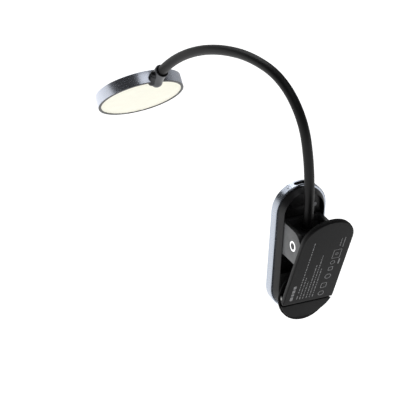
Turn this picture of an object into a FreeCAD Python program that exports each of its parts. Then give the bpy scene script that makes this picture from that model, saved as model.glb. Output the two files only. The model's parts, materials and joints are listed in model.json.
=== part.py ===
import FreeCAD, Part
import math
import os
import re
import Sketcher

# Clip-on reading lamp, in millimetres.
# +Z runs up along the housing, -Y is the side of the pincer plate, X is across.
# The origin is the middle of the grip, on the housing's page pad.

os.makedirs("parts", exist_ok=True)
doc = FreeCAD.newDocument("ReadingLamp")
sheet = doc.addObject("Spreadsheet::Sheet", "dims")

size = {
    # housing, a flat box with round ends
    "housingRadius": 17.0,      # half the width
    "housingLow": 2.0,          # centre of the lower round end
    "housingHigh": 51.6,        # centre of the upper round end
    "housingFront": 4.6,        # front edge of the metal wall
    "housingBack": 10.5,        # outer flat face
    "shellWall": 1.46,
    "shellBack": 1.2,
    "edgeBevel": 0.5,
    "fitGap": 0.08,             # clearance of fixed pieces in their seats
    "moveGap": 0.3,             # clearance of moving pieces
    # inner cover with its deep pocket
    "coverFront": 0.5,
    "bevelBack": 3.8,
    "pocketRadius": 13.2,
    "pocketLip": 0.35,
    "pocketFloor": 4.4,
    "coverSkin": 0.9,
    "pagePadTop": 13.0,
    # screws and small passages
    "bossRadius": 2.0,
    "screwHead": 1.4,
    "screwHeadThick": 0.7,
    "screwShank": 0.7,
    "screwReach": 3.4,          # length of a cover screw's shank
    "screwHole": 0.75,
    "blockScrewReach": 6.5,
    "blockScrewShank": 0.73,
    "plateScrewHead": 1.3,
    "plateScrewShank": 0.58,
    "plateScrewReach": 1.1,
    "wireHole": 1.5,
    # things behind the cover
    "batteryWidth": 22.0,
    "batteryLength": 23.0,
    "batteryThick": 3.4,
    "boardWidth": 12.4,
    "boardLength": 14.0,
    "boardThick": 0.6,
    "portWidth": 9.0,
    "portHeight": 3.2,
    "portDepth": 7.2,
    "portLine": 7.05,           # depth of the port's centre behind the grip plane
    "lightAngle": 30.0,         # charge light, away from the top of the round end
    "lightHole": 0.5,
    # hinge block
    "blockLow": 26.8,
    "blockHigh": 47.6,
    "blockHalfWidth": 13.05,
    "blockNose": -19.7,
    "blockNoseLow": 42.8,
    "blockFoot": -14.1,
    "noseRound": 9.0,
    "cheekThick": 4.2,
    "neckWell": 3.8,            # depth of the well round the neck
    "wellHalfWidth": 10.4,
    "wellBack": 1.7,
    # pincer hinge
    "pinLine": -15.3,
    "pinLevel": 36.2,
    "pinRadius": 1.5,
    "pinSeat": 2.0,             # how far the pin sits in each cheek
    "pinRunning": 0.05,
    "earRadius": 4.0,
    "earThick": 2.4,
    "springWire": 0.45,
    "springRadius": 2.3,
    "springTurns": 5,
    # pincer plate, leaning away at its top
    "plateLean": 19.35,
    "plateFootY": -11.9,
    "plateFootZ": 0.0,
    "plateReach": 49.5,
    "plateSkin": 1.9,
    "frameSkin": 1.4,
    "frameInset": 0.5,
    "plateCut": -3.17,
    # tilting foot of the pincer
    "footPinY": -7.93,
    "footPinZ": 0.86,
    "footPinRadius": 0.9,
    "footFace": -4.7,
    "footPadThick": 0.6,
    "footDiscThick": 1.2,
    "footRadius": 17.2,
    "footKnuckle": 2.3,
    "lugRadius": 2.0,
    "lugInner": 13.2,
    "lugOuter": 16.4,
    "footJoint": 5.0,           # radius of the curved joint between plate and foot
    # power button on the left cheek
    "buttonLine": -10.7,
    "buttonLevel": 37.5,
    "buttonRadius": 2.05,
    "buttonThick": 1.3,
    "buttonTravel": 0.4,
    "ringInner": 2.15,
    "ringOuter": 3.15,
    "ringThick": 1.1,
    "switchSide": 3.4,
    "switchThick": 1.3,
    # gooseneck
    "neckBaseY": -4.1,
    "neckBaseZ": 44.6,
    "neckRadius": 3.07,
    "coreRadius": 1.7,
    "cupRadius": 3.2,
    "neckLink": 26.8,
    "neckHeading": 12.0,        # turn of the neck's plane from +Y towards -X
    "neckLean": -0.9,
    "neckRoot": 3.4,            # straight start inside the block
    "neckTail": 6.0,
    "glandRadius": 4.4,
    # light head
    "headX": -31.7,
    "headY": 152.5,
    "headZ": 60.6,
    "headTurn": -3.6,           # heading of the light's beam from -Y
    "headPitch": 42.4,          # how far the beam points down
    "headRadius": 27.25,
    "headThick": 8.0,
    "headWall": 1.4,
    "headBackThick": 1.0,
    "diffuserThick": 1.4,
    "diffuserDepth": 0.35,
    "guideThick": 2.4,
    "foilThick": 0.3,
    "ledBoardThick": 0.6,
    "ledCount": 24,
    "ledWidth": 1.6,
    "ledDepth": 0.9,
    "socketMouth": 4.35,
    "socketKnee": 4.05,
    "socketTip": 3.35,
    "socketWall": 0.9,
    "socketTipReach": 24.6,
    "socketTipHeight": 1.4,
    "socketBore": 3.45,
}
neckBends = [6.5, 11.4, 31.5, 36.4, 17.4, 11.6, 12.3, 14.8]     # degrees, from the block to the head
for link, bend in enumerate(neckBends, start=1):
    size["neckBend%s" % "ABCDEFGH"[link - 1]] = bend

for row, (alias, value) in enumerate(size.items(), start=1):
    sheet.set("A%d" % row, alias)
    sheet.set("B%d" % row, str(value))
    sheet.setAlias("B%d" % row, alias)
doc.recompute()

turnToY = FreeCAD.Rotation(FreeCAD.Vector(1, 0, 0), -90)
turnToX = FreeCAD.Rotation(FreeCAD.Vector(0, 1, 0), 90)
noTurn = FreeCAD.Rotation()
nodes = {}


# helpers: every size and place is a formula of the sheet's names

def formula(text):
    return re.sub(r"[A-Za-z]+", lambda word: "dims." + word[0] if word[0] in size else word[0], text)


def amount(text):
    return float(sheet.evalExpression(formula(text)))


def bind(item, sizes):
    for path, text in sizes.items():
        item.setExpression(path, formula(text))
    return item


def put(item, x, y, z, rotation=noTurn):
    item.Placement.Rotation = rotation
    return bind(item, {"Placement.Base.x": x, "Placement.Base.y": y, "Placement.Base.z": z})


def box(name, xLow, xHigh, yLow, yHigh, zLow, zHigh):
    item = doc.addObject("Part::Box", name)
    bind(item, {
        "Length": "(%s)-(%s)" % (xHigh, xLow),
        "Width": "(%s)-(%s)" % (yHigh, yLow),
        "Height": "(%s)-(%s)" % (zHigh, zLow),
    })
    return put(item, xLow, yLow, zLow)


def rod(name, radius, x, y, z, length, rotation=noTurn):
    item = doc.addObject("Part::Cylinder", name)
    bind(item, {"Radius": radius, "Height": length})
    return put(item, x, y, z, rotation)


def cone(name, radiusStart, radiusEnd, x, y, z, length, rotation=noTurn):
    item = doc.addObject("Part::Cone", name)
    bind(item, {"Radius1": radiusStart, "Radius2": radiusEnd, "Height": length})
    return put(item, x, y, z, rotation)


def join(name, *pieces):
    item = doc.addObject("Part::MultiFuse", name)
    item.Shapes = list(pieces)
    item.Refine = True
    return item


def cut(name, base, *tools):
    item = doc.addObject("Part::Cut", name)
    item.Base = base
    item.Tool = tools[0] if len(tools) == 1 else join(name + "Tools", *tools)
    return item


def overlap(name, first, second):
    item = doc.addObject("Part::Common", name)
    item.Base = first
    item.Tool = second
    return item


def group(name, pieces):
    item = doc.addObject("Part::Compound", name)
    item.Links = pieces
    return item


def stadium(name, radius, front, back, low="housingLow", high="housingHigh"):
    """A plate with two round ends, its thickness along Y."""
    middle = box(name + "Middle", "-(%s)" % radius, radius, front, back, low, high)
    ends = [rod(name + end, radius, "0", front, level, "(%s)-(%s)" % (back, front), turnToY)
            for end, level in (("Foot", low), ("Head", high))]
    return join(name, middle, *ends)


def bevelledStadium(name, frontRadius, backRadius, front, back, low="housingLow", high="housingHigh"):
    """The same outline with sloping sides."""
    middle = doc.addObject("Part::Wedge", name + "Middle")
    bind(middle, {
        "Ymin": front, "Ymax": back, "Zmin": low, "Zmax": high, "Z2min": low, "Z2max": high,
        "Xmin": "-(%s)" % frontRadius, "Xmax": frontRadius,
        "X2min": "-(%s)" % backRadius, "X2max": backRadius,
    })
    ends = [cone(name + end, frontRadius, backRadius, "0", front, level, "(%s)-(%s)" % (back, front), turnToY)
            for end, level in (("Foot", low), ("Head", high))]
    return join(name, middle, *ends)


def screw(name, x, y, z, headRadius, headThick, shankRadius, shankLength, rotation=turnToY, towards=1):
    """A screw whose head starts at (x, y, z); its shank follows along Y."""
    head = rod(name + "Head", headRadius, x, y, z, headThick, rotation)
    shank = rod(name + "Shank", shankRadius, x, "%s+%d*(%s)" % (y, towards, headThick), z, shankLength, rotation)
    return join(name, head, shank)


def node(name, item):
    item.Label = name
    nodes[name] = item
    return item


def framed(item, placement):
    """Carries a piece that was made flat to its own place."""
    carrier = group(item.Name + "Placed", [item])
    carrier.Placement = placement
    return carrier


# housing: metal shell, cover, and what they hold

coverRadius = "housingRadius-shellWall-fitGap"
coverBack = "pocketFloor+coverSkin"
shellInside = "housingBack-shellBack"
coverScrewSpots = [("-8.5", "19.5"), ("8.5", "19.5"), ("-8.5", "54.0"), ("8.5", "54.0")]
blockScrewSpots = [("-6.5", "32.0"), ("6.5", "32.0")]

outside = join(
    "shellOutside",
    bevelledStadium("shellFrontEdge", "housingRadius-edgeBevel", "housingRadius",
                    "housingFront", "housingFront+edgeBevel"),
    stadium("shellSide", "housingRadius", "housingFront+edgeBevel", "housingBack-edgeBevel"),
    bevelledStadium("shellBackEdge", "housingRadius", "housingRadius-edgeBevel",
                    "housingBack-edgeBevel", "housingBack"))
tray = cut("shellTray", outside,
           stadium("shellHollow", "housingRadius-shellWall", "housingFront-1", shellInside))
bosses = [rod("boss%d" % n, "bossRadius", x, coverBack, z, "%s-(%s)" % (shellInside, coverBack), turnToY)
          for n, (x, z) in enumerate(coverScrewSpots)]
slotHalf = "(portWidth-portHeight)/2"
slotTop = "housingHigh+housingRadius"
slotTools = [
    box("slotMiddle", "-(%s)" % slotHalf, slotHalf, "portLine-portHeight/2-fitGap", "portLine+portHeight/2+fitGap",
        slotTop + "-3", slotTop + "+1"),
    rod("slotLeft", "portHeight/2+fitGap", "-(%s)" % slotHalf, "portLine", slotTop + "-3", "4"),
    rod("slotRight", "portHeight/2+fitGap", slotHalf, "portLine", slotTop + "-3", "4"),
]
lightTurn = FreeCAD.Rotation(FreeCAD.Vector(0, 1, 0), -size["lightAngle"])
lightStart = "housingRadius-3"
lightX = "-(%s)*sin(lightAngle)" % lightStart
lightZ = "housingHigh+(%s)*cos(lightAngle)" % lightStart
lightBore = rod("lightBore", "lightHole", lightX, "portLine", lightZ, "4", lightTurn)
screwBores = [rod("coverBore%d" % n, "screwShank", x, coverBack, z, "3", turnToY)
              for n, (x, z) in enumerate(coverScrewSpots)]
node("housing_shell", cut("housingShell", join("trayWithBosses", tray, *bosses),
                          *slotTools, lightBore, *screwBores))

rimPiece = join(
    "coverSolid",
    bevelledStadium("coverBevel", "pocketRadius+pocketLip", coverRadius, "coverFront", "bevelBack"),
    stadium("coverFloor", coverRadius, "bevelBack", coverBack))
pocket = stadium("coverPocket", "pocketRadius", "coverFront-1", "pocketFloor")
coverHoles = [rod("coverHole%d" % n, "screwHole", x, "pocketFloor-1", z, "3", turnToY)
              for n, (x, z) in enumerate(coverScrewSpots + blockScrewSpots)]
wireHole = rod("coverWireHole", "wireHole", "0", "pocketFloor-1", "blockHigh-neckWell-5", "3", turnToY)
node("housing_cover", cut("housingCover", rimPiece, pocket, wireHole, *coverHoles))

node("page_pad", join(
    "pagePad",
    rod("pagePadRound", "pocketRadius-fitGap", "0", "0", "housingLow", "pocketFloor", turnToY),
    box("pagePadBlock", "-pocketRadius+fitGap", "pocketRadius-fitGap", "0", "pocketFloor",
        "housingLow", "pagePadTop")))

node("battery", box("batteryCell", "-batteryWidth/2", "batteryWidth/2",
                    coverBack + "+0.1", coverBack + "+0.1+batteryThick",
                    "housingLow-8.5", "housingLow-8.5+batteryLength"))
boardTop = "housingHigh+12"
node("main_board", box("mainBoard", "-boardWidth/2", "boardWidth/2", "portLine+portHeight/2+0.02",
                       "portLine+portHeight/2+0.02+boardThick", boardTop + "-boardLength", boardTop))
portFoot = "housingHigh+housingRadius-shellWall-portDepth"
portShell = stadium("portShell", "portHeight/2", "0", "portDepth", "-(%s)" % slotHalf, slotHalf)
portMouth = stadium("portMouth", "portHeight/2-0.3", "1", "portDepth+1", "-(%s)" % slotHalf, slotHalf)
portTongue = box("portTongue", "-0.35", "0.35", "0.9", "portDepth-1.2", "-3.3", "3.3")
portPlace = FreeCAD.Placement(
    FreeCAD.Vector(0, amount("portLine"), amount(portFoot)),
    FreeCAD.Rotation(FreeCAD.Vector(0, 1, 0), FreeCAD.Vector(0, 0, 1), FreeCAD.Vector(1, 0, 0), "XYZ"))
node("usb_c_port", framed(join("usbPort", cut("portCan", portShell, portMouth), portTongue), portPlace))
node("charge_light", rod("chargeLight", "lightHole-0.02", lightX, "portLine", lightZ, "2.9", lightTurn))

node("cover_screws", group("coverScrews", [
    screw("coverScrew%d" % n, x, "pocketFloor-screwHeadThick", z,
          "screwHead", "screwHeadThick", "screwShank", "screwReach")
    for n, (x, z) in enumerate(coverScrewSpots)]))

# hinge block, which carries the neck, the button and the pincer's pin

block = doc.addObject("PartDesign::Body", "blockBody")
profile = block.newObject("Sketcher::SketchObject", "blockProfile")
sidePlane = [plane for plane in block.Origin.OriginFeatures if plane.Role == "YZ_Plane"][0]
profile.AttachmentSupport = [(sidePlane, "")]
profile.MapMode = "FlatFace"
corners = [("pocketFloor", "blockLow"), ("blockFoot", "blockLow"), ("blockNose", "blockNoseLow"),
           ("blockNose", "blockHigh"), ("pocketFloor", "blockHigh")]
spots = [FreeCAD.Vector(amount(y), amount(z), 0) for y, z in corners]
for index, spot in enumerate(spots):
    profile.addGeometry(Part.LineSegment(spot, spots[(index + 1) % len(spots)]))
for index in range(len(spots)):
    profile.addConstraint(Sketcher.Constraint("Coincident", index, 2, (index + 1) % len(spots), 1))
for index, (y, z) in enumerate(corners):
    for kind, side, text in (("DistanceX", "Across", y), ("DistanceY", "Up", z)):
        rule = profile.addConstraint(Sketcher.Constraint(kind, -1, 1, index, 1, amount(text)))
        profile.renameConstraint(rule, "corner%d%s" % (index, side))
        profile.setExpression("Constraints.corner%d%s" % (index, side), formula(text))
blockPad = block.newObject("PartDesign::Pad", "blockPad")
blockPad.Profile = profile
blockPad.SideType = "Symmetric"
bind(blockPad, {"Length": "2*blockHalfWidth"})

cheekInside = "blockHalfWidth-cheekThick"
noseCorner = cut(
    "noseCorner",
    box("noseCornerBox", "-blockHalfWidth-1", "blockHalfWidth+1", "blockNose-1", "blockNose+noseRound",
        "blockHigh-noseRound", "blockHigh+1"),
    rod("noseCornerRod", "noseRound", "-blockHalfWidth-2", "blockNose+noseRound", "blockHigh-noseRound",
        "2*blockHalfWidth+4", turnToX))
blockTools = [
    noseCorner,
    box("neckWellBox", "-wellHalfWidth", "wellHalfWidth", "blockNose-1", "wellBack",
        "blockHigh-neckWell", "blockHigh+1"),
    box("earBay", "-(%s)" % cheekInside, cheekInside, "blockNose-1", "pinLine+earRadius+moveGap",
        "blockLow-1", "blockHigh+1"),
    rod("pinSeatBore", "pinRadius", "-(%s)-pinSeat" % cheekInside, "pinLine", "pinLevel",
        "2*(%s)+2*pinSeat" % cheekInside, turnToX),
    rod("ringBore", "ringOuter", "-blockHalfWidth-1", "buttonLine", "buttonLevel", "ringThick+1", turnToX),
    rod("switchBore", "switchSide*0.75", "-blockHalfWidth", "buttonLine", "buttonLevel", "3.3", turnToX),
    rod("glandBore", "glandRadius", "0", "neckBaseY", "neckBaseZ-4", "5"),
    rod("wireBore", "wireHole", "0", "neckBaseY", "blockHigh-neckWell-5", "pocketFloor-neckBaseY+1", turnToY),
]
blockTools += [rod("blockScrewBore%d" % n, "screwHole", x, "pocketFloor-7", z, "8", turnToY)
               for n, (x, z) in enumerate(blockScrewSpots)]
node("hinge_block", cut("hingeBlock", block, *blockTools))
node("block_screws", group("blockScrews", [
    join("blockScrew%d" % n,
         rod("blockScrewHead%d" % n, "screwHead", x, coverBack, z, "screwHeadThick+0.1", turnToY),
         rod("blockScrewShank%d" % n, "blockScrewShank", x, "pocketFloor-blockScrewReach", z,
             "blockScrewReach+coverSkin", turnToY))
    for n, (x, z) in enumerate(blockScrewSpots)]))
node("hinge_pin", rod("hingePin", "pinRadius", "-(%s)-pinSeat" % cheekInside, "pinLine", "pinLevel",
                      "2*(%s)+2*pinSeat" % cheekInside, turnToX))

coilPath = doc.addObject("Part::Helix", "coilPath")
bind(coilPath, {"Radius": "springRadius", "Pitch": "springWire*2.3", "Height": "springWire*2.3*springTurns"})
coilPlace = FreeCAD.Placement(
    FreeCAD.Vector(amount("-springWire*2.3*springTurns/2"), amount("pinLine"), amount("pinLevel")), turnToX)
coilPath.Placement = coilPlace
wireRing = doc.addObject("Part::Circle", "wireRing")
bind(wireRing, {"Radius": "springWire"})
wireRing.Placement = coilPlace.multiply(
    FreeCAD.Placement(FreeCAD.Vector(size["springRadius"], 0, 0), FreeCAD.Rotation(FreeCAD.Vector(1, 0, 0), 90)))
coil = doc.addObject("Part::Sweep", "coilSweep")
coil.Sections = [wireRing]
coil.Spine = (coilPath, ["Edge1"])
coil.Solid = True
coil.Frenet = True
legLength = "6.5"
legs = [
    rod("springLegUp", "springWire", "springWire*2.3*springTurns/2", "pinLine-springRadius", "pinLevel", legLength),
    rod("springLegDown", "springWire", "-springWire*2.3*springTurns/2", "pinLine+springRadius",
        "pinLevel-" + legLength, legLength),
]
node("torsion_spring", group("torsionSpring", [coil] + legs))

# power button on the left cheek, with its lit ring and its switch

buttonFace = "-blockHalfWidth-0.15"
node("button_ring", cut(
    "buttonRing",
    rod("ringDisc", "ringOuter-0.02", "-blockHalfWidth-0.05", "buttonLine", "buttonLevel", "ringThick+0.05", turnToX),
    rod("ringHole", "ringInner", "-blockHalfWidth-1", "buttonLine", "buttonLevel", "ringThick+2", turnToX)))
node("power_button", rod("powerButton", "buttonRadius", buttonFace, "buttonLine", "buttonLevel",
                         "buttonThick", turnToX))
plungerStart = "%s+buttonThick+buttonTravel+0.02" % buttonFace
node("tact_switch", join(
    "tactSwitch",
    rod("switchPlunger", "1.0", plungerStart, "buttonLine", "buttonLevel", "0.5", turnToX),
    box("switchBody", plungerStart + "+0.3", plungerStart + "+0.3+switchThick",
        "buttonLine-switchSide/2", "buttonLine+switchSide/2",
        "buttonLevel-switchSide/2", "buttonLevel+switchSide/2")))

# pincer: front plate, inner frame with ears and lugs; made flat, then leaned

pincerPlace = FreeCAD.Placement(
    FreeCAD.Vector(0, amount("plateFootY"), amount("plateFootZ")),
    FreeCAD.Rotation(FreeCAD.Vector(1, 0, 0), amount("plateLean")))


def inPincer(y, z):
    """Formulas of a side-view point in the pincer's own flat frame."""
    across = "((%s-plateFootY)*cos(plateLean)+(%s-plateFootZ)*sin(plateLean))" % (y, z)
    along = "((%s-plateFootZ)*cos(plateLean)-(%s-plateFootY)*sin(plateLean))" % (z, y)
    return across, along


pinDepth, pinReach = inPincer("pinLine", "pinLevel")
footPinDepth, footPinReach = inPincer("footPinY", "footPinZ")
frameBack = "plateSkin+frameSkin"
plateScrewSpots = [("-9.5", "9.0"), ("9.5", "9.0"), ("-9.5", "58.0"), ("9.5", "58.0")]
belowCut = box("belowCut", "-housingRadius-1", "housingRadius+1", "-1", "10", "-housingRadius-1", "plateCut")
plateSolid = join(
    "plateSolid",
    bevelledStadium("plateFrontEdge", "housingRadius-edgeBevel", "housingRadius", "0", "edgeBevel",
                    "0", "plateReach"),
    stadium("plateSlab", "housingRadius", "edgeBevel", "plateSkin", "0", "plateReach"))
plateBores = [rod("plateBore%d" % n, "0.6", x, "plateSkin-1.2", z, "1.3", turnToY)
              for n, (x, z) in enumerate(plateScrewSpots)]
knuckleRelief = rod("knuckleRelief", "footKnuckle+moveGap", "-lugInner", footPinDepth, footPinReach,
                    "2*lugInner", turnToX)
node("clip_plate", framed(cut("clipPlate", plateSolid, belowCut, knuckleRelief, *plateBores), pincerPlace))

earOutside = "%s-moveGap" % cheekInside
earInside = "%s-earThick" % earOutside
framePieces = [stadium("frameSlab", "housingRadius-frameInset", "plateSkin", frameBack, "0", "plateReach")]
frameTools = [box("belowFrame", "-housingRadius-1", "housingRadius+1", "-1", "10", "-housingRadius-1", "plateCut")]
for side in (-1, 1):
    mark = "L" if side < 0 else "R"
    earLow = earInside if side > 0 else "-(%s)" % earOutside
    earHigh = earOutside if side > 0 else "-(%s)" % earInside
    lugLow = "lugInner" if side > 0 else "-lugOuter"
    lugHigh = "lugOuter" if side > 0 else "-lugInner"
    framePieces += [
        box("earWeb" + mark, earLow, earHigh, frameBack + "-0.2", pinDepth,
            pinReach + "-earRadius", pinReach + "+earRadius"),
        rod("earRound" + mark, "earRadius", earLow, pinDepth, pinReach, "earThick", turnToX),
        box("lugWeb" + mark, lugLow, lugHigh, frameBack + "-0.2", footPinDepth,
            footPinReach + "-lugRadius", footPinReach + "+lugRadius"),
        rod("lugRound" + mark, "lugRadius", lugLow, footPinDepth, footPinReach, "lugOuter-lugInner", turnToX),
    ]
frameTools += [
    rod("earBore", "pinRadius+pinRunning", "-blockHalfWidth", pinDepth, pinReach, "2*blockHalfWidth", turnToX),
    rod("lugBore", "footPinRadius+0.01", "-housingRadius", footPinDepth, footPinReach, "2*housingRadius", turnToX),
    knuckleRelief,
]
frameTools += [rod("frameBore%d" % n, "0.65", x, "plateSkin-1", z, "3", turnToY)
               for n, (x, z) in enumerate(plateScrewSpots)]
node("clip_frame", framed(cut("clipFrame", join("frameSolid", *framePieces), *frameTools), pincerPlace))
node("plate_screws", framed(group("plateScrews", [
    join("plateScrew%d" % n,
         rod("plateScrewHead%d" % n, "plateScrewHead", x, frameBack, z, "screwHeadThick", turnToY),
         rod("plateScrewShank%d" % n, "plateScrewShank", x, "plateSkin-plateScrewReach", z,
             "plateScrewReach+frameSkin", turnToY))
    for n, (x, z) in enumerate(plateScrewSpots)]), pincerPlace))
node("foot_pin", rod("footPin", "footPinRadius", "-lugOuter", "footPinY", "footPinZ", "2*lugOuter", turnToX))

# tilting foot: a disc that lies on the page, with a wedge that completes the plate's outline

discBack = "footFace-footPadThick"
discFront = discBack + "-footDiscThick"
wedgeFlat = join(
    "wedgeFlat",
    cone("wedgeEdge", "housingRadius-edgeBevel", "housingRadius", "0", "0", "0", "edgeBevel", turnToY),
    rod("wedgeBody", "housingRadius", "0", "edgeBevel", "0", "12", turnToY))
wedgeCut = cut("wedgeCut", wedgeFlat,
               box("aboveWedge", "-housingRadius-1", "housingRadius+1", "-1", "14", "plateCut", "housingRadius+1"))
wedgeLeaned = framed(wedgeCut, pincerPlace)
wedge = overlap("footWedge", wedgeLeaned,
                box("wedgeRoom", "-20", "20", "-40", discBack, "-40", "20"))
footSolid = join(
    "footSolid",
    cut("footWedgeTop", wedge,
        rod("footJointBore", "footJoint", "-20", "footPinY", "footPinZ", "40", turnToX)),
    rod("footDisc", "footRadius", "0", discFront, "0", "footDiscThick", turnToY),
    rod("footKnuckleRod", "footKnuckle", "-lugInner+moveGap", "footPinY", "footPinZ",
        "2*lugInner-2*moveGap", turnToX))
footTools = [rod("footPinBore", "footPinRadius+pinRunning", "-20", "footPinY", "footPinZ", "40", turnToX)]
for side in (-1, 1):
    low = "lugInner-moveGap" if side > 0 else "-housingRadius-2"
    footTools.append(rod("lugNotch" + ("R" if side > 0 else "L"), "lugRadius+0.25", low, "footPinY", "footPinZ",
                         "housingRadius+2-lugInner+moveGap", turnToX))
node("jaw_foot", cut("jawFoot", footSolid, *footTools))
node("foot_pad", rod("footPad", "footRadius-0.5", "0", discBack, "0", "footPadThick", turnToY))

# gooseneck: eight links, each an arc of one long curve in an upright plane

heading = math.radians(amount("neckHeading"))
outward = FreeCAD.Vector(-math.sin(heading), math.cos(heading), 0)
up = FreeCAD.Vector(0, 0, 1)
linkNames = "ABCDEFGH"


def arcPiece(name, radius, place, letter, bendRadius):
    item = doc.addObject("Part::Torus", name)
    bind(item, {"Radius1": bendRadius, "Radius2": radius, "Angle3": "neckBend" + letter})
    item.Placement = place
    return item


def neckPoint(lean):
    return outward * math.sin(lean) + up * math.cos(lean)


jointPoint = FreeCAD.Vector(0, amount("neckBaseY"), amount("neckBaseZ"))
lean = math.radians(amount("neckLean"))
neckJoints = []
for number, letter in enumerate(linkNames, start=1):
    along = neckPoint(lean)
    inward = outward * math.cos(lean) - up * math.sin(lean)
    bendRadius = "neckLink/(neckBend%s*pi/180)" % letter
    place = FreeCAD.Placement(
        jointPoint + inward * amount(bendRadius),
        FreeCAD.Rotation(inward * -1, along, inward.cross(along) * -1, "XYZ"))
    sleeve = [arcPiece("sleeveArc" + letter, "neckRadius", place, letter, bendRadius)]
    hollow = [arcPiece("sleeveHollow" + letter, "coreRadius", place, letter, bendRadius)]
    core = [arcPiece("coreArc" + letter, "coreRadius-0.04", place, letter, bendRadius)]
    if number == 1:
        root = FreeCAD.Placement(jointPoint - along * size["neckRoot"], FreeCAD.Rotation(up, along))
        for name, radius, pieces in (("sleeveRoot", "neckRadius", sleeve), ("hollowRoot", "coreRadius", hollow),
                                     ("coreRoot", "coreRadius-0.04", core)):
            tail = doc.addObject("Part::Cylinder", name)
            bind(tail, {"Radius": radius, "Height": "neckRoot"})
            tail.Placement = root
            pieces.append(tail)
    else:
        cup = doc.addObject("Part::Sphere", "cup" + letter)
        bind(cup, {"Radius": "cupRadius"})
        cup.Placement = FreeCAD.Placement(jointPoint, FreeCAD.Rotation())
    bend = math.radians(amount("neckBend" + letter))
    turn = amount(bendRadius)
    jointPoint = jointPoint + inward * (turn * (1 - math.cos(bend))) + along * (turn * math.sin(bend))
    lean = lean + bend
    neckJoints.append((jointPoint, lean))
    ahead = FreeCAD.Rotation(up, neckPoint(lean))
    if number < len(linkNames):
        dome = doc.addObject("Part::Sphere", "dome" + letter)
        dome.Angle1 = 0
        bind(dome, {"Radius": "neckRadius"})
        dome.Placement = FreeCAD.Placement(jointPoint, ahead)
        sleeve.append(dome)
    else:
        for name, radius, pieces in (("sleeveTail", "neckRadius", sleeve), ("hollowTail", "coreRadius", hollow),
                                     ("coreTail", "coreRadius-0.04", core)):
            tail = doc.addObject("Part::Cylinder", name)
            bind(tail, {"Radius": radius, "Height": "neckTail"})
            tail.Placement = FreeCAD.Placement(jointPoint, ahead)
            pieces.append(tail)
    sleeveSolid = join("sleeveSolid" + letter, *sleeve)
    hollowSolid = join("hollowSolid" + letter, *hollow) if len(hollow) > 1 else hollow[0]
    coreSolid = join("coreSolid" + letter, *core) if len(core) > 1 else core[0]
    if number > 1:
        sleeveItem = cut("sleeve" + letter, sleeveSolid, hollowSolid, cup)
        coreItem = cut("core" + letter, coreSolid, cup)
    else:
        sleeveItem = cut("sleeve" + letter, sleeveSolid, hollowSolid)
        coreItem = coreSolid
    node("neck_sleeve_%d" % number, sleeveItem)
    node("neck_core_%d" % number, coreItem)
neckEnd, endLean = neckJoints[-1]
node("neck_gland", cut(
    "neckGland",
    rod("glandRing", "glandRadius-0.02", "0", "neckBaseY", "neckBaseZ-neckRoot", "neckRoot-0.2"),
    rod("glandHole", "neckRadius+0.1", "0", "neckBaseY", "neckBaseZ-5", "8")))

# light head, made flat with its light face down at z = 0, then placed; +X points to the socket

beam = FreeCAD.Vector(
    math.sin(math.radians(amount("headTurn"))) * math.cos(math.radians(amount("headPitch"))),
    -math.cos(math.radians(amount("headTurn"))) * math.cos(math.radians(amount("headPitch"))),
    -math.sin(math.radians(amount("headPitch"))))
headCentre = FreeCAD.Vector(amount("headX"), amount("headY"), amount("headZ"))
backward = beam * -1
toNeck = neckEnd - headCentre
toNeck = (toNeck - backward * toNeck.dot(backward)).normalize()
headPlace = FreeCAD.Placement(
    headCentre, FreeCAD.Rotation(toNeck, backward.cross(toNeck), backward, "XYZ"))
toHead = headPlace.inverse()
mouth = toHead.multVec(neckEnd)
neckWay = toHead.Rotation.multVec(neckPoint(endLean))


def disc(name, radius, low, high):
    return rod(name, radius, "0", "0", low, "(%s)-(%s)" % (high, low))


def ring(name, outer, inner, low, high):
    return cut(name, disc(name + "Disc", outer, low, high), disc(name + "Hole", inner, low + "-1", high + "+1"))


inside = "headRadius-headWall"
shellTop = "headThick-headBackThick"
headSolid = join(
    "headSolid",
    cone("headFrontEdge", "headRadius-0.4", "headRadius", "0", "0", "0", "0.4"),
    disc("headDrum", "headRadius", "0.4", "headThick-0.4"),
    cone("headBackEdge", "headRadius", "headRadius-0.4", "0", "0", "headThick-0.4", "0.4"))
node("head_shell", framed(cut(
    "headShell", headSolid,
    disc("headMouth", inside + "-0.3", "-1", "2"),
    disc("headRoom", inside, "diffuserDepth", "headThick+1")), headPlace))
node("diffuser", framed(disc("diffuserDisc", inside + "-fitGap", "diffuserDepth+0.02",
                             "diffuserDepth+diffuserThick"), headPlace))
guideLow = "diffuserDepth+diffuserThick+0.05"
guideHigh = guideLow + "+guideThick"
ledLow = inside + "-fitGap-ledBoardThick-ledDepth"
node("light_guide", framed(disc("lightGuide", ledLow + "-0.15", guideLow, guideHigh), headPlace))
node("led_board", framed(ring("ledBoard", inside + "-fitGap", inside + "-fitGap-ledBoardThick",
                              guideLow, guideHigh), headPlace))
ledPieces = []
for number in range(int(size["ledCount"])):
    led = box("led%d" % number, ledLow, ledLow + "+ledDepth-0.1", "-ledWidth/2", "ledWidth/2",
              guideLow + "+0.4", guideHigh + "-0.4")
    spin = FreeCAD.Rotation(up, 360.0 * number / size["ledCount"])
    ledPieces.append(framed(led, FreeCAD.Placement(FreeCAD.Vector(), spin)))
node("leds", framed(group("ledRing", ledPieces), headPlace))
node("reflector_foil", framed(disc("reflectorFoil", inside + "-fitGap", guideHigh + "+0.02",
                                   guideHigh + "+0.02+foilThick"), headPlace))
foilTop = guideHigh + "+0.02+foilThick"
node("head_board", framed(disc("headBoard", "9", foilTop + "+0.02", foilTop + "+0.82"), headPlace))
node("head_back", framed(join(
    "headBack",
    disc("backPlate", inside + "-fitGap", shellTop, "headThick-0.15"),
    ring("backRing", inside + "-fitGap", inside + "-1.2", foilTop + "+0.02", shellTop + "+0.1")), headPlace))

# neck socket: a tapered barrel that takes the neck's end and reaches the head's rim

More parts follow.
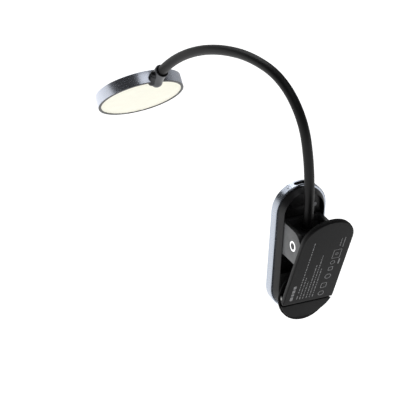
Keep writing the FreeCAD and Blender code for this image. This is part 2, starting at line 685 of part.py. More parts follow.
mouthPlace = FreeCAD.Placement(mouth, FreeCAD.Rotation(up, neckWay))
tip = FreeCAD.Vector(amount("socketTipReach"), 0, amount("socketTipHeight"))
knee = mouth + neckWay * amount("neckTail+socketWall")


def barrelPiece(name, start, end, startRadius, endRadius):
    way = end - start
    item = doc.addObject("Part::Cone", name)
    bind(item, {"Radius1": startRadius, "Radius2": endRadius})
    item.Height = way.Length
    item.Placement = FreeCAD.Placement(start, FreeCAD.Rotation(up, way))
    cap = doc.addObject("Part::Sphere", name + "End")
    bind(cap, {"Radius": endRadius})
    cap.Placement = FreeCAD.Placement(end, FreeCAD.Rotation())
    return join(name + "Piece", item, cap)


bridge = box("socketBridge", "headRadius-2", "headRadius+2.4", "-socketMouth-1.2", "1",
             "0.9", "headThick-0.9")
bore = doc.addObject("Part::Cylinder", "socketBoreRod")
bind(bore, {"Radius": "socketBore", "Height": "3.2"})
bore.Placement = mouthPlace.multiply(FreeCAD.Placement(FreeCAD.Vector(0, 0, -0.6), FreeCAD.Rotation()))
seat = doc.addObject("Part::Cylinder", "socketSeat")
bind(seat, {"Radius": "neckRadius+0.03", "Height": "neckTail+0.1"})
seat.Placement = mouthPlace
node("neck_socket", framed(cut(
    "neckSocket", join(
        "socketSolid",
        barrelPiece("socketBarrel", mouth, knee, "socketMouth", "socketKnee"),
        barrelPiece("socketToe", knee, tip, "socketKnee", "socketTip"), bridge),
    disc("headKeepOut", "headRadius+0.02", "-0.05", "headThick+0.02"), bore, seat), headPlace))

# every piece is checked before any file is written

doc.recompute()
for item in doc.Objects:
    if "Invalid" in item.State or "Error" in item.State:
        raise RuntimeError("%s did not build: %s" % (item.Name, item.State))
for name, item in nodes.items():
    if item.Shape.isNull() or not item.Shape.isValid() or not item.Shape.Solids:
        raise RuntimeError("%s has no valid solid" % name)
    item.Shape.exportStep("parts/%s.step" % name)
    print(name, len(item.Shape.Solids), round(item.Shape.Volume, 2))
for place, turnSoFar in neckJoints:
    print("neck joint", [round(c, 3) for c in place], round(math.degrees(turnSoFar), 2))
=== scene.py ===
import json
import math

import bmesh
import bpy
from mathutils import Matrix, Vector


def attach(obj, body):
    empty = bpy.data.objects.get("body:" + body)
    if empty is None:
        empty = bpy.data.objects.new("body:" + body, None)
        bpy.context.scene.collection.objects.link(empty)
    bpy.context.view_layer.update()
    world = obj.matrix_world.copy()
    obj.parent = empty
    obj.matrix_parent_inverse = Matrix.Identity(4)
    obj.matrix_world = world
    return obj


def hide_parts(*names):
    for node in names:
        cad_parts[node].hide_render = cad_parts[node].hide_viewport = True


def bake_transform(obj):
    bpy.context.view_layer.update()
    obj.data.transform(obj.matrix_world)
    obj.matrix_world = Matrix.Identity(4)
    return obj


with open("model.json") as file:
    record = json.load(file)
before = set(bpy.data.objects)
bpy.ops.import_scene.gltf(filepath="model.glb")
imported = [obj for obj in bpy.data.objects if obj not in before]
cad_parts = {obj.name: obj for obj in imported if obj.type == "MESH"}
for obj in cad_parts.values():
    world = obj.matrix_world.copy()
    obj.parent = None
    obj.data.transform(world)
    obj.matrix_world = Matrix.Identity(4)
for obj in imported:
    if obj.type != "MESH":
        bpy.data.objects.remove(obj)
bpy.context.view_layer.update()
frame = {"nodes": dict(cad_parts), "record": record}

mm = 0.001
nodes = frame["nodes"]


# small helpers for material nodes

def addNode(tree, kind, values=None):
    item = tree.nodes.new(kind)
    for socket, value in (values or {}).items():
        item.inputs[socket].default_value = value
    return item


def noiseAt(tree, coordinates, scale, detail, stretch=None):
    noise = addNode(tree, "ShaderNodeTexNoise", {"Scale": scale, "Detail": detail})
    if stretch:
        mapping = addNode(tree, "ShaderNodeMapping", {"Scale": stretch})
        tree.links.new(coordinates, mapping.inputs["Vector"])
        coordinates = mapping.outputs["Vector"]
    tree.links.new(coordinates, noise.inputs["Vector"])
    return noise.outputs["Fac"]


def spread(tree, source, low, high):
    # noise mostly lies between 0.3 and 0.7, and is widened to the given range
    item = addNode(tree, "ShaderNodeMapRange",
                   {"From Min": 0.3, "From Max": 0.7, "To Min": low, "To Max": high})
    tree.links.new(source, item.inputs["Value"])
    return item.outputs["Result"]


def blendColors(tree, share, first, second):
    item = addNode(tree, "ShaderNodeMix")
    item.data_type = "RGBA"
    tree.links.new(share, item.inputs[0])
    for socket, value in ((6, first), (7, second)):      # the mix node's two colour inputs
        if isinstance(value, tuple):
            item.inputs[socket].default_value = (*value, 1)
        else:
            tree.links.new(value, item.inputs[socket])
    return item.outputs[2]      # its colour output


def dim(color, share):
    return tuple(channel * share for channel in color)


# what a finish has when its own line doesn't say: cloud is a slow change of tone and grain a
# fine texture, with their scales in repeats per metre; edge is how much a pointed edge lightens
plainLook = {
    "cloud": 0.06, "cloudScale": 60.0, "grainScale": 1800.0, "stretch": None, "bump": 0.15,
    "bumpDepth": 0.03, "edge": 0.25, "edgeLight": 1.5, "metallic": 0.0, "specular": 0.5,
    "coat": 0.0, "coatRoughness": 0.12,
}


def makeFinish(name, ownLook):
    look = {**plainLook, **ownLook}
    color, cloudiness, roughness = look["color"], look["cloud"], look["roughness"]
    material = bpy.data.materials.new(name)
    material.use_nodes = True
    tree = material.node_tree
    shader = tree.nodes["Principled BSDF"]
    place = tree.nodes.new("ShaderNodeTexCoord").outputs["Object"]
    cloud = noiseAt(tree, place, look["cloudScale"], 4.0)
    grain = noiseAt(tree, place, look["grainScale"], 2.0, look["stretch"])
    tones = blendColors(tree, spread(tree, cloud, 0.0, 1.0), dim(color, 1 - cloudiness),
                        dim(color, 1 + cloudiness))
    if "core" in look:
        # the core colour shows nearer the middle than the piece's outer faces; on the hinge
        # block the outer faces' grey is partly painted light
        axes = tree.nodes.new("ShaderNodeSeparateXYZ")
        tree.links.new(place, axes.inputs["Vector"])
        aside = addNode(tree, "ShaderNodeMath")
        aside.operation = "ABSOLUTE"
        tree.links.new(axes.outputs["X"], aside.inputs[0])
        outer = addNode(tree, "ShaderNodeMapRange", {"From Min": (look["coreWidth"] - 0.1) * mm,
                                                     "From Max": look["coreWidth"] * mm})
        tree.links.new(aside.outputs[0], outer.inputs["Value"])
        tones = blendColors(tree, outer.outputs["Result"], look["core"], tones)
    # pointed edges, found by pointiness, are lightened towards edgeLight times the colour
    edgePoint = tree.nodes.new("ShaderNodeNewGeometry").outputs["Pointiness"]
    edge = addNode(tree, "ShaderNodeMapRange",
                   {"From Min": 0.52, "From Max": 0.60, "To Min": 0.0, "To Max": look["edge"]})
    tree.links.new(edgePoint, edge.inputs["Value"])
    edgeTones = blendColors(tree, edge.outputs["Result"], tones, dim(color, look["edgeLight"]))
    tree.links.new(edgeTones, shader.inputs["Base Color"])
    tree.links.new(spread(tree, grain, roughness * 0.9, roughness * 1.1),
                   shader.inputs["Roughness"])
    for socket, part in (("Metallic", "metallic"), ("Specular IOR Level", "specular"),
                         ("Coat Weight", "coat"), ("Coat Roughness", "coatRoughness"),
                         ("Emission Strength", "glow"), ("Transmission Weight", "clear")):
        if part in look:
            shader.inputs[socket].default_value = look[part]
    bump = addNode(tree, "ShaderNodeBump",
                   {"Strength": look["bump"], "Distance": look["bumpDepth"] * mm})
    tree.links.new(grain, bump.inputs["Height"])
    tree.links.new(bump.outputs["Normal"], shader.inputs["Normal"])
    if "glow" in look:
        tree.links.new(edgeTones, shader.inputs["Emission Color"])
    return material


looks = {
    # metal of the housing and head
    "housing_metal": {"color": (0.475, 0.513, 0.58), "roughness": 0.26, "metallic": 1.0,
                      "cloud": 0.03, "bump": 0.035, "edge": 0.0},
    "head_metal": {"color": (0.62, 0.655, 0.74), "roughness": 0.25, "metallic": 1.0,
                   "cloud": 0.03, "bump": 0.025, "edge": 0.0},
    "lip_dark": {"color": (0.030, 0.030, 0.030), "roughness": 0.42, "cloud": 0.08},
    "socket_metal": {"color": (0.10, 0.102, 0.108), "roughness": 0.30, "metallic": 1.0,
                     "cloud": 0.05, "bump": 0.03},
    "socket_dark": {"color": (0.045, 0.046, 0.049), "roughness": 0.32, "metallic": 1.0,
                    "cloud": 0.05, "bump": 0.08},
    # moulded plastic and rubber
    "cover_black": {"color": (0.012, 0.012, 0.0125), "roughness": 0.36, "specular": 0.45,
                    "cloud": 0.10, "bump": 0.22},
    "plate_black": {"color": (0.0070, 0.0070, 0.0072), "roughness": 0.50, "specular": 0.13,
                    "cloud": 0.10, "bump": 0.35},
    # darker than the plate's black: the lower sheen is the foot's own, the darker colour is
    # painted shade
    "foot_black": {"color": (0.0050, 0.0050, 0.0052), "roughness": 0.52, "specular": 0.08,
                   "cloud": 0.10, "bump": 0.35},
    "frame_black": {"color": (0.009, 0.009, 0.0095), "roughness": 0.50, "specular": 0.25,
                    "cloud": 0.10, "bump": 0.30},
    # the block's outer side faces are grey, partly its own tone and partly painted light from
    # the left on the black plastic; the core is that black
    "block_grey": {"color": (0.115, 0.118, 0.121), "roughness": 0.34, "bump": 0.20,
                   "core": (0.004, 0.004, 0.0041), "coreWidth": 12.95},
    "neck_black": {"color": (0.006, 0.006, 0.0063), "roughness": 0.44, "specular": 0.28,
                   "cloud": 0.12, "grainScale": 2400.0, "bump": 0.30},
    "grip_rubber": {"color": (0.010, 0.010, 0.0105), "roughness": 0.75, "specular": 0.2,
                    "cloud": 0.15, "grainScale": 1500.0, "bump": 0.55},
    "head_back_black": {"color": (0.010, 0.010, 0.011), "roughness": 0.40, "specular": 0.4,
                        "cloud": 0.10, "bump": 0.25},
    "gland_black": {"color": (0.006, 0.006, 0.0062), "roughness": 0.6, "specular": 0.2,
                    "bump": 0.3},
    "button_black": {"color": (0.020, 0.020, 0.021), "roughness": 0.32, "specular": 0.4},
    # the white ring glows though it is no lamp: painted light that keeps it bright
    "ring_white": {"color": (0.95, 0.96, 0.97), "roughness": 0.35, "cloud": 0.02, "glow": 1.0,
                   "edge": 0.0},
    "print_grey": {"color": (0.22, 0.22, 0.225), "roughness": 0.60, "specular": 0.2,
                   "cloud": 0.15, "cloudScale": 900.0, "edge": 0.0},
    # light parts
    "diffuser_white": {"color": (0.90, 0.885, 0.76), "roughness": 0.45, "specular": 0.3,
                       "cloud": 0.02, "cloudScale": 140.0, "glow": 0.10, "bump": 0.08,
                       "edge": 0.0},
    "guide_clear": {"color": (0.90, 0.94, 0.95), "roughness": 0.12, "clear": 0.9, "edge": 0.0,
                    "bump": 0.05},
    "clear_light": {"color": (0.008, 0.008, 0.009), "roughness": 0.15, "clear": 0.2,
                    "edge": 0.0, "bump": 0.05},
    "foil_white": {"color": (0.86, 0.87, 0.88), "roughness": 0.28, "cloud": 0.03, "edge": 0.0},
    "led_yellow": {"color": (0.90, 0.72, 0.22), "roughness": 0.42, "cloud": 0.05, "glow": 0.6,
                   "edge": 0.0},
    # parts inside
    "board_green": {"color": (0.02, 0.13, 0.06), "roughness": 0.40, "coat": 0.4, "cloud": 0.20,
                    "cloudScale": 900.0},
    "cell_wrap": {"color": (0.18, 0.22, 0.30), "roughness": 0.35, "coat": 0.3,
                  "stretch": (1.0, 1.0, 0.2)},
    "bright_steel": {"color": (0.30, 0.30, 0.29), "roughness": 0.25, "metallic": 1.0,
                     "stretch": (0.1, 1.0, 1.0)},
    "dark_steel": {"color": (0.10, 0.10, 0.105), "roughness": 0.34, "metallic": 1.0,
                   "stretch": (0.1, 1.0, 1.0)},
    "spring_steel": {"color": (0.20, 0.205, 0.21), "roughness": 0.30, "metallic": 1.0,
                     "stretch": (0.2, 1.0, 1.0)},
    "core_steel": {"color": (0.32, 0.32, 0.33), "roughness": 0.36, "metallic": 1.0},
    # around the lamp
    "floorPaper": {"color": (0.90, 0.90, 0.90), "roughness": 0.9, "cloud": 0.005,
                   "cloudScale": 3.0, "grainScale": 400.0, "bump": 0.02, "edge": 0.0,
                   "specular": 0.1, "glow": 1.03},
    "cardGrey": {"color": (0.12, 0.12, 0.12), "roughness": 0.9, "cloud": 0.02, "glow": 2.6,
                 "edge": 0.0},
}
finishes = {name: makeFinish(name, look) for name, look in looks.items()}
for entry in frame["record"]["subparts"]:
    surface = nodes[entry["node"]].data.materials
    surface.clear()
    surface.append(finishes[entry["material_slot"]])
print("finishes:", len(finishes))


# shapes: loops of points are joined into skins

def placePiece(name, mesh, finish):
    mesh.materials.clear()
    mesh.materials.append(finishes[finish])
    piece = bpy.data.objects.new(name, mesh)
    bpy.context.scene.collection.objects.link(piece)
    return piece


def makePiece(name, rings, finish, closed=False):
    # rings: equal loops of points, joined one to the next; closed joins the last to the first
    size = len(rings[0])
    points = [tuple(point) for ring in rings for point in ring]
    faces = []
    for step in range(len(rings) if closed else len(rings) - 1):
        near, far = step * size, (step + 1) % len(rings) * size
        for index in range(size):
            following = (index + 1) % size
            faces.append((near + index, near + following, far + following, far + index))
    if not closed:
        faces.append(tuple(range(size)))
        faces.append(tuple(range(len(points) - size, len(points))))
    mesh = bpy.data.meshes.new(name)
    mesh.from_pydata(points, [], faces)
    shell = bmesh.new()
    shell.from_mesh(mesh)
    bmesh.ops.remove_doubles(shell, verts=shell.verts, dist=1e-7)
    bmesh.ops.recalc_face_normals(shell, faces=shell.faces)
    shell.to_mesh(mesh)
    shell.free()
    mesh.shade_smooth()
    mesh.set_sharp_from_angle(angle=math.radians(40))
    return placePiece(name, mesh, finish)


def circle(spot, first, second, radius, count):
    # a ring of points round a spot, in the plane of two directions
    return [spot + (first * math.cos(angle) + second * math.sin(angle)) * radius * mm
            for angle in (2 * math.pi * index / count for index in range(count))]


def roundPath(corners, steps=5, closed=True):
    # corners: (a, b, radius); every corner becomes an arc between its two sides
    path = []
    for index, (a, b, radius) in enumerate(corners):
        spot = Vector((a, b))
        if radius <= 0 or (not closed and index in (0, len(corners) - 1)):
            path.append(spot)
            continue
        before = Vector(corners[index - 1][:2]) - spot
        after = Vector(corners[(index + 1) % len(corners)][:2]) - spot
        before.normalize()
        after.normalize()
        half = before.angle(after) / 2
        reach = radius / math.tan(half)
        middle = spot + (before + after).normalized() * (radius / math.sin(half))
        start = spot + before * reach - middle
        end = spot + after * reach - middle
        turn = start.angle(end)
        for step in range(steps + 1):
            share = step / steps
            path.append(middle + (start * math.sin((1 - share) * turn)
                                  + end * math.sin(share * turn)) / math.sin(turn))
    return path


# block, plate, foot, frame and cover: copies of their own shapes with the sharp edges rounded

softEdges = {
    # piece: (finish, body, rounding in mm)
    "hinge_block": ("block_grey", "housing", 0.30),
    "clip_plate": ("plate_black", "pincer", 0.15),
    "jaw_foot": ("foot_black", "foot", 0.15),
    "clip_frame": ("frame_black", "pincer", 0.15),
    "housing_cover": ("cover_black", "housing", 0.15),
}


def softened(node, finish, body, rounding):
    shell = bmesh.new()
    shell.from_mesh(nodes[node].data)
    bmesh.ops.remove_doubles(shell, verts=shell.verts, dist=2e-6)
    bmesh.ops.dissolve_limit(shell, angle_limit=math.radians(0.4), verts=shell.verts,
                             edges=shell.edges)
    sharp = [edge for edge in shell.edges
             if len(edge.link_faces) == 2 and edge.calc_face_angle(0) > math.radians(28)]
    bmesh.ops.bevel(shell, geom=sharp, offset=rounding * mm, offset_type="OFFSET", segments=3,
                    profile=0.5, affect="EDGES", clamp_overlap=True)
    mesh = bpy.data.meshes.new(node + "Soft")
    shell.to_mesh(mesh)
    shell.free()
    mesh.shade_smooth()
    mesh.set_sharp_from_angle(angle=math.radians(35))
    piece = placePiece(node + "Soft", mesh, finish)
    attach(piece, body)
    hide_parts(node)
    return piece


softPieces = {}
for node, (finish, body, rounding) in softEdges.items():
    softPieces[node] = softened(node, finish, body, rounding)
    print("softened:", node, len(softPieces[node].data.polygons), "faces")


# pincer plate: its end, and marks in place of the maker's own print

plate = {
    "place": (0.0, -11.9, 0.0),    # a spot on the outer face, near its lower end
    "tilt": 19.35,
    # the plate ends a little above the foot, so a dark line shows between them
    "cut": -3.17,
    "cutReach": 0.4,
    "gap": 0.8,
    "printSink": 0.02,
    "printHeight": 0.03,
    "printCorner": 0.3,            # how round a dash is, as a share of its shorter side
    # rows run up the plate: (across, start, end, thickness, dash lengths in turn, gap)
    "rows": (
        (-12.4, 1.0, 14.0, 1.9, (3.4, 2.0, 2.8), 0.7),
        (-8.6, 1.5, 4.5, 0.55, (3.0,), 0.5),
        (-8.6, 7.0, 51.0, 0.55, (1.1, 2.3, 0.8, 1.7), 0.75),
        (-6.5, 1.0, 20.0, 0.55, (2.2, 0.9, 1.5), 0.7),
        (-4.4, 1.0, 16.0, 0.55, (1.3, 2.0, 0.9), 0.7),
        (-2.1, 1.0, 30.0, 0.55, (1.8, 0.9, 1.2, 2.4), 0.7),
        (0.0, 1.0, 38.0, 0.55, (0.9, 1.6, 2.2, 1.1), 0.7),
        (2.1, 1.0, 26.0, 0.55, (2.4, 1.0, 1.4), 0.7),
        (12.6, 27.5, 32.0, 0.9, (4.5,), 0.5),
        (9.6, 44.0, 50.5, 0.5, (1.2, 1.8), 0.6),
        (11.8, 42.5, 51.0, 0.4, (8.5,), 0.5),
    ),
    # rings and frames: (across, along, width, length, corner, line)
    "frames": (
        (7.6, 2.6, 4.0, 4.0, 2.0, 0.42),
        (7.6, 9.6, 4.0, 4.4, 0.7, 0.42),
        (8.4, 17.4, 4.2, 4.2, 2.1, 0.42),
        (8.4, 24.2, 3.2, 3.2, 0.5, 0.42),
        (8.4, 29.6, 3.2, 3.2, 1.6, 0.36),
        (9.4, 37.0, 5.4, 7.6, 0.5, 0.30),
        (9.4, 37.0, 2.0, 2.0, 1.0, 0.30),
    ),
}
plateFrame = (Matrix.Translation(Vector(plate["place"]) * mm)
              @ Matrix.Rotation(math.radians(plate["tilt"]), 4, "X"))
for corner in softPieces["clip_plate"].data.vertices:
    flat = plateFrame.inverted() @ corner.co
    if flat.z < (plate["cut"] + plate["cutReach"]) * mm:
        flat.z += plate["gap"] * mm
        corner.co = plateFrame @ flat


def roundBar(across, along, width, length, corner):
    return roundPath([(across - width / 2, along - length / 2, corner),
                      (across + width / 2, along - length / 2, corner),
                      (across + width / 2, along + length / 2, corner),
                      (across - width / 2, along + length / 2, corner)], steps=6)


def onPlate(outline, depth):
    return [plateFrame @ (Vector((spot[0], depth, spot[1])) * mm) for spot in outline]


def addInk(ink, loops, closed):
    rings = [[ink.verts.new(point) for point in loop] for loop in loops]
    count = len(rings[0])
    for step in range(len(rings) if closed else len(rings) - 1):
        near, far = rings[step], rings[(step + 1) % len(rings)]
        for index in range(count):
            following = (index + 1) % count
            ink.faces.new((near[index], near[following], far[following], far[index]))
    if not closed:
        ink.faces.new(rings[0])
        ink.faces.new(rings[-1])


def printMarks():
    ink = bmesh.new()
    low, high = plate["printSink"], -plate["printHeight"]
    for across, start, end, thickness, lengths, gap in plate["rows"]:
        along, turn = start, 0
        while along < end - 0.1:
            length = min(lengths[turn % len(lengths)], end - along)
            bar = roundBar(across, along + length / 2, thickness, length,
                           min(thickness, length) * plate["printCorner"])
            addInk(ink, [onPlate(bar, low), onPlate(bar, high)], False)
            along += length + gap
            turn += 1
    shy = 0.999      # a corner just under half the width keeps its two ends apart
    for across, along, width, length, corner, line in plate["frames"]:
        outline = roundBar(across, along, width, length, corner * shy)
        inline = roundBar(across, along, width - 2 * line, length - 2 * line,
                          max(corner - line, 0.05) * shy)
        addInk(ink, [onPlate(outline, low), onPlate(outline, high),
                     onPlate(inline, high), onPlate(inline, low)], True)
    bmesh.ops.recalc_face_normals(ink, faces=ink.faces)
    mesh = bpy.data.meshes.new("printMarks")
    ink.to_mesh(mesh)
    ink.free()
    piece = placePiece("printMarks", mesh, "print_grey")
    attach(piece, "pincer")
    return piece


print("print:", len(printMarks().data.polygons), "faces")


# gooseneck: one long curve of eight arcs in an upright plane, cut into tubes at mid-arc

neck = {
    "base": (0.0, -4.1, 44.6),
    "heading": 12.0,               # degrees to the left of straight back
    "lean": -0.9,                  # degrees from upright where it leaves the block
    "link": 26.8,                  # length of an arc in mm
    "bends": (6.5, 11.4, 31.5, 36.4, 17.4, 11.6, 12.3, 14.8),      # degrees in each arc
    "root": 3.4,                   # length inside the block
    "tail": 6.0,                   # length inside the socket
    "radius": 3.07,
    "around": 40,
    "step": 0.9,
    "soft": 11.0,                  # a distance each side of a joint; the points found there are not used
}
neckOut = Vector((-math.sin(math.radians(neck["heading"])),
                  math.cos(math.radians(neck["heading"])), 0))
neckUp = Vector((0, 0, 1))
neckSide = neckOut.cross(neckUp)


def neckAt(distance):
    # the neck's middle line and its direction at a distance from the block
    spot, lean, left = Vector(neck["base"]), math.radians(neck["lean"]), distance
    for bend in neck["bends"]:
        if left <= 0:
            break
        run = min(left, neck["link"])
        turn = math.radians(bend) * run / neck["link"]
        radius = neck["link"] / math.radians(bend)
        inward = neckOut * math.cos(lean) - neckUp * math.sin(lean)
        way = neckOut * math.sin(lean) + neckUp * math.cos(lean)
        spot = spot + inward * radius * (1 - math.cos(turn)) + way * radius * math.sin(turn)
        lean += turn
        left -= run
    way = neckOut * math.sin(lean) + neckUp * math.cos(lean)
    return (spot + way * left) * mm, way


def neckPiece(name, start, end):
    count = max(4, round((end - start) / neck["step"]))
    rings = []
    for step in range(count + 1):
        spot, way = neckAt(start + (end - start) * step / count)
        rings.append(circle(spot, neckSide, way.cross(neckSide), neck["radius"],
                            neck["around"]))
    piece = makePiece(name, rings, "neck_black")
    return piece


link = neck["link"]
sleeveFoot = neckPiece("sleeveFoot", -neck["root"], link * 0.5)
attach(sleeveFoot, "housing")
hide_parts("neck_sleeve_1")
for number in range(1, 8):
    tube = neckPiece("sleeveBend_%d" % number, link * (number - 0.5), link * (number + 0.5))
    neckAt(link * number - neck["soft"])[0]
    neckAt(link * number + neck["soft"])[0]
    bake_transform(tube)
    if number < 7:
        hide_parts("neck_sleeve_%d" % (number + 1))
sleeveEnd = neckPiece("sleeveEnd", link * 7.5, link * 8 + neck["tail"])
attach(sleeveEnd, "head")
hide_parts("neck_sleeve_8")
print("gooseneck: nine tubes")


# light head: turned pieces in the head's own frame, with the light face at height zero

head = {
    "centre": (-31.7, 152.5, 60.6),
    "turn": -3.6,                  # which way the light shines, in degrees
    "pitch": 42.4,
    "radius": 27.25,
    "thick": 8.0,
    "wall": 1.4,
    "lip": 0.3,                    # how far the lip reaches in over the diffuser
    "lipDepth": 0.35,
    "lipShade": 0.25,              # depth of the lip's dark paint
    "rounding": 0.35,
    "fit": 0.08,                   # gap round the pieces set into the shell
    "glass": (0.37, 1.75),         # heights of the diffuser's two faces
    "hub": 0.05,                   # the tiny middle ring of a turned disc
    "plateThick": 1.6,
    "around": 144,
}
turn, pitch = math.radians(head["turn"]), math.radians(head["pitch"])
beam = Vector((math.sin(turn) * math.cos(pitch), -math.cos(turn) * math.cos(pitch),
               -math.sin(pitch)))
headSpot = Vector(head["centre"]) * mm
neckEnd, neckEndWay = neckAt(link * 8)
headX = neckEnd - headSpot
headX = (headX + beam * -headX.dot(beam)).normalized()
headZ = -beam
headY = headZ.cross(headX)
headFrame = Matrix((headX, headY, headZ)).transposed().to_4x4()
headFrame.translation = headSpot


def turned(name, profile, finish, node, closed=False):
    count = head["around"]
    rings = []
    for radius, height in profile:
        rings.append([headFrame @ (Vector((radius * math.cos(2 * math.pi * index / count),
                                           radius * math.sin(2 * math.pi * index / count),
                                           height)) * mm) for index in range(count)])
    piece = makePiece(name, rings, finish, closed)
    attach(piece, "head")
    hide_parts(node)
    return piece


rim, thick, edgeRound = head["radius"], head["thick"], head["rounding"]
bore = rim - head["wall"]
mouth = bore - head["lip"]
inset = bore - head["fit"]
hub, plateThick = head["hub"], head["plateThick"]
headShell = turned("headShell", roundPath([
    (mouth, 0.0, 0.15), (rim, 0.0, edgeRound), (rim, thick, edgeRound), (bore, thick, 0.2),
    (bore, head["lipDepth"], 0.0), (mouth, head["lipDepth"], 0.0)]),
    "head_metal", "head_shell", closed=True)
headShell.data.materials.append(finishes["lip_dark"])
for face in headShell.data.polygons:
    spot = headFrame.inverted() @ face.center
    if spot.z < head["lipShade"] * mm and spot.xy.length > (mouth - 0.2) * mm:
        face.material_index = 1
glassFront, glassBack = head["glass"]
turned("diffuserDisc", roundPath([
    (hub, glassFront, 0), (bore * 0.5, glassFront, 0), (inset, glassFront, 0.1),
    (inset, glassBack, 0.1), (hub, glassBack, 0)], closed=False),
    "diffuser_white", "diffuser")
# the back plate: a shallow dish in the middle, a low step round it, and a groove near the rim
turned("headBackPlate", roundPath([
    (hub, thick - 0.45, 0), (inset * 0.30, thick - 0.45, 0.4),
    (inset * 0.36, thick - 0.30, 0.4), (inset - 2.2, thick - 0.12, 0.2),
    (inset - 2.0, thick - 0.40, 0.08), (inset - 1.6, thick - 0.40, 0.08),
    (inset - 1.4, thick - 0.12, 0.2), (inset, thick - 0.15, 0.15),
    (inset, thick - plateThick, 0.1), (hub, thick - plateThick, 0)], closed=False),
    "head_back_black", "head_back")
print("light head: three turned pieces")


# neck socket: a short barrel bent from the neck's end to the rim, with a knuckle beside it

socket = {
    "mouth": 4.35,                 # outer radius at the neck
    "toe": 3.85,                   # outer radius at the rim
    "bore": 3.45,
    "boreDepth": 2.6,
    "straight": 6.9,               # how far the barrel follows the neck before it turns
    "tipReach": 24.3,
    "tipHeight": 1.1,
    "rim": 0.3,                    # how much its mouth edge is rounded
    "knuckle": 2.75,
    "knuckleAside": 3.3,
    "knuckleSpan": (0.34, 0.97),   # where it starts and ends, as shares of the barrel
    "around": 56,
    "steps": 18,
    "domeSteps": 8,
}
tip = headFrame @ (Vector((socket["tipReach"], 0, socket["tipHeight"])) * mm)
knee = neckEnd + neckEndWay * socket["straight"] * mm


def barrelAt(share):
    # a smooth way from the mouth past the knee to the tip, and its direction
    spot = neckEnd * (1 - share) ** 2 + knee * 2 * share * (1 - share) + tip * share ** 2
    way = (knee - neckEnd) * 2 * (1 - share) + (tip - knee) * 2 * share
    return spot, way.normalized()


def barrelRing(spot, way, radius):
    aside = (neckSide - way * neckSide.dot(way)).normalized()
    return circle(spot, aside, way.cross(aside), radius, socket["around"])


def domeRings(spot, way, radius):
    rings = []
    for step in range(1, socket["domeSteps"] + 1):
        angle = math.pi / 2 * step / socket["domeSteps"]
        rings.append(barrelRing(spot + way * radius * math.sin(angle) * mm, way,
                                max(0.04, radius * math.cos(angle))))
    return rings


mouthRadius, toeRadius, mouthEdge = socket["mouth"], socket["toe"], socket["rim"]
mouthSpot, mouthWay = barrelAt(0.0)
barrel = [barrelRing(mouthSpot + mouthWay * depth * mm, mouthWay, radius) for depth, radius in (
    (socket["boreDepth"], socket["bore"]), (0.2, socket["bore"]), (0.0, socket["bore"] + 0.2),
    (0.0, mouthRadius - mouthEdge), (0.1, mouthRadius - 0.1))]
for step in range(socket["steps"] + 1):
    share = step / socket["steps"]
    spot, way = barrelAt(share)
    if step == 0:
        spot = spot + way * mouthEdge * mm
    barrel.append(barrelRing(spot, way, mouthRadius + (toeRadius - mouthRadius) * share))
barrel += domeRings(*barrelAt(1.0), toeRadius)
socketBarrel = makePiece("socketBarrel", barrel, "socket_metal")
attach(socketBarrel, "head")
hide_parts("neck_socket")

aside = headY * -socket["knuckleAside"] * mm
first, last = socket["knuckleSpan"]
stations = [barrelAt(first + (last - first) * step / socket["steps"])
            for step in range(socket["steps"] + 1)]
knuckle = [barrelRing(spot + aside, way, socket["knuckle"]) for spot, way in stations]
firstSpot, firstWay = barrelAt(first)
lastSpot, lastWay = barrelAt(last)
knuckle = (domeRings(firstSpot + aside, -firstWay, socket["knuckle"])[::-1] + knuckle
           + domeRings(lastSpot + aside, lastWay, socket["knuckle"]))
socketKnuckle = makePiece("socketKnuckle", knuckle, "socket_dark")
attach(socketKnuckle, "head")
print("socket: barrel and knuckle")


# camera

camera = {
    "turn": 29.18,
    "tilt": 28.76,
    "roll": 3.48,
    "distance": 1939.0,
    "lens": 295.2,
    "across": -60.03,              # how far it is moved sideways and up in its own plane
    "above": 29.12,
    "lift": (0.0, 0.5, 26.8),
}
turn, tilt, roll = (math.radians(camera[part]) for part in ("turn", "tilt", "roll"))
back = Vector((-math.sin(turn) * math.cos(tilt), -math.cos(turn) * math.cos(tilt),
               math.sin(tilt)))
right = Vector((math.cos(turn), -math.sin(turn), 0))
above = back.cross(right)
viewX = right * math.cos(roll) + above * math.sin(roll)
viewY = -right * math.sin(roll) + above * math.cos(roll)
viewFrame = Matrix((viewX, viewY, back)).transposed().to_4x4()
viewFrame.translation = (viewX * camera["across"] + viewY * camera["above"]
                         + back * camera["distance"] + Vector(camera["lift"])) * mm
cameraData = bpy.data.cameras.new("camera")
cameraData.lens = camera["lens"]
cameraData.sensor_width = 36.0
cameraData.clip_end = 50.0
cameraObject = bpy.data.objects.new("camera", cameraData)
cameraObject.matrix_world = viewFrame
bpy.context.scene.collection.objects.link(cameraObject)
bpy.context.scene.camera = cameraObject
print("camera: ready")


# floor, grey card, lamps and sky, in metres

floorSheet = {"level": -0.30, "size": 14.0, "thick": 0.02}
half = floorSheet["size"] / 2
floorCorners = ((-half, -half), (half, -half), (half, half), (-half, half))
floor = makePiece("floor", [[Vector((x, y, floorSheet["level"] - depth))
                             for x, y in floorCorners]
                            for depth in (floorSheet["thick"], 0.0)], "floorPaper")

# the card stands at the right, and only gloss sees it
card = {"way": (0.88, 0.45, 0.0), "distance": 0.95, "width": 1.1, "low": -0.29, "high": 0.35,
        "thick": 0.01}
cardWay = Vector(card["way"]).normalized()
cardSide = Vector((-cardWay.y, cardWay.x, 0)) * card["width"] / 2
cardSpot = cardWay * card["distance"]
cardCorners = ((-1, card["low"]), (1, card["low"]), (1, card["high"]), (-1, card["high"]))
greyCard = makePiece("greyCard", [[cardSpot + cardWay * depth + cardSide * side
                                   + Vector((0, 0, level)) for side, level in cardCorners]
                                  for depth in (0.0, card["thick"])], "cardGrey")
greyCard.visible_camera = greyCard.visible_diffuse = greyCard.visible_shadow = False

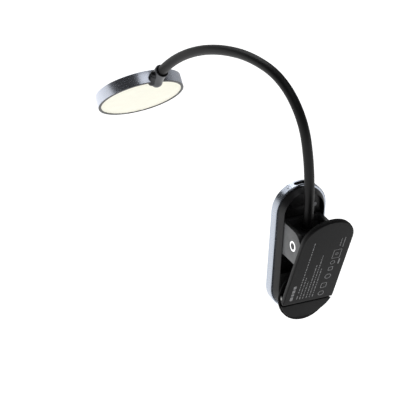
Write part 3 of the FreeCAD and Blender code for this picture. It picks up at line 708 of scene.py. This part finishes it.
lampAim = (-10.0, 70.0, 60.0)      # in mm
lamps = {
    # name: (way to the lamp, distance, width, height, radiance, tone)
    "topBox": ((-0.03, -0.42, 0.90), 1.5, 0.80, 0.60, 1.1, (0.97, 0.98, 1.0)),
    "backBox": ((0.03, 0.755, 0.58), 1.6, 1.80, 0.56, 1.45, (0.97, 0.98, 1.0)),
    "backHighBox": ((0.08, 0.64, 0.80), 1.6, 0.90, 0.36, 3.2, (1.0, 1.0, 1.0)),
    "topRightBox": ((0.40, 0.06, 0.91), 1.5, 0.50, 0.45, 1.3, (0.97, 0.98, 1.0)),
    "rightBox": ((0.95, 0.05, 0.32), 1.6, 0.9, 0.7, 0.22, (1.0, 1.0, 1.0)),
}
for name, (way, distance, width, height, radiance, tone) in lamps.items():
    lampData = bpy.data.lights.new(name, "AREA")
    lampData.shape = "RECTANGLE"
    lampData.size, lampData.size_y = width, height
    lampData.energy = radiance * math.pi * width * height
    lampData.color = tone
    lamp = bpy.data.objects.new(name, lampData)
    lamp.location = Vector(lampAim) * mm + Vector(way).normalized() * distance
    lamp.rotation_euler = Vector(way).to_track_quat("Z", "Y").to_euler()
    bpy.context.scene.collection.objects.link(lamp)

# sky brightness at each height above the horizon, as the sine of its angle
skySteps = ((0.0, 1.0), (0.06, 0.9), (0.16, 0.10), (0.4, 0.04), (1.0, 0.05))
world = bpy.data.worlds.new("studio")
world.use_nodes = True
sky = world.node_tree
skyHeight = sky.nodes.new("ShaderNodeSeparateXYZ")
sky.links.new(sky.nodes.new("ShaderNodeTexCoord").outputs["Generated"],
              skyHeight.inputs["Vector"])
skyRamp = sky.nodes.new("ShaderNodeValToRGB")
while len(skyRamp.color_ramp.elements) < len(skySteps):
    skyRamp.color_ramp.elements.new(0.5)
for element, (height, radiance) in zip(skyRamp.color_ramp.elements, skySteps):
    element.position = height
    element.color = (radiance, radiance, radiance, 1)
sky.links.new(skyHeight.outputs["Z"], skyRamp.inputs["Fac"])
sky.links.new(skyRamp.outputs["Color"], sky.nodes["Background"].inputs["Color"])
bpy.context.scene.world = world
bpy.context.scene.view_settings.view_transform = "Standard"
print("studio: ready")
